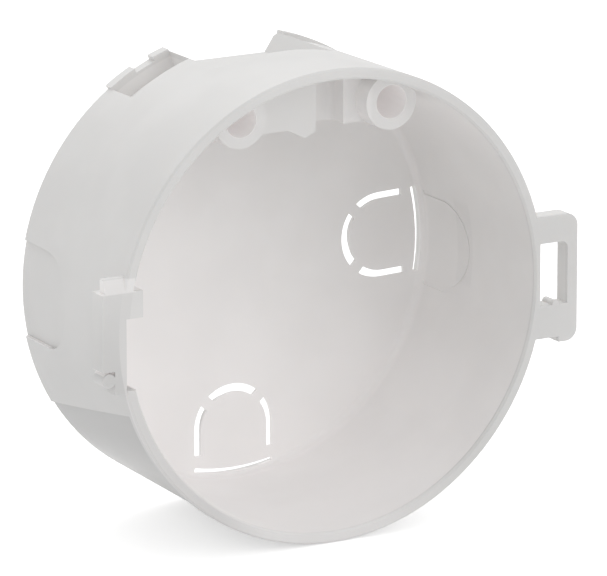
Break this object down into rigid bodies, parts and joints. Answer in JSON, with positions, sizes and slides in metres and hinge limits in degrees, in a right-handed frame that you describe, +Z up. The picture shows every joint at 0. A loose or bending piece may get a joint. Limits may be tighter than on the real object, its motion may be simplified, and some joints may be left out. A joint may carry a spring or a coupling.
{
  "type": "flush mounting box",
  "caption": "Round flush mounting box for one wall device, moulded in one piece, with screw bosses, knock-outs and a side loop and catch for linking.",
  "frame": {"origin": "centre of the rear face, on the axis of the box", "axes": "+Z up as the box sits in a wall, -Y out of the open mouth, +X towards the link loop"},
  "size_m": [0.076, 0.0316, 0.068],
  "materials": {
    "moulding": "satin white polypropylene"
  },
  "bodies": {
    "root": {"mounting_box": "moulding"}
  },
  "joints": []
}
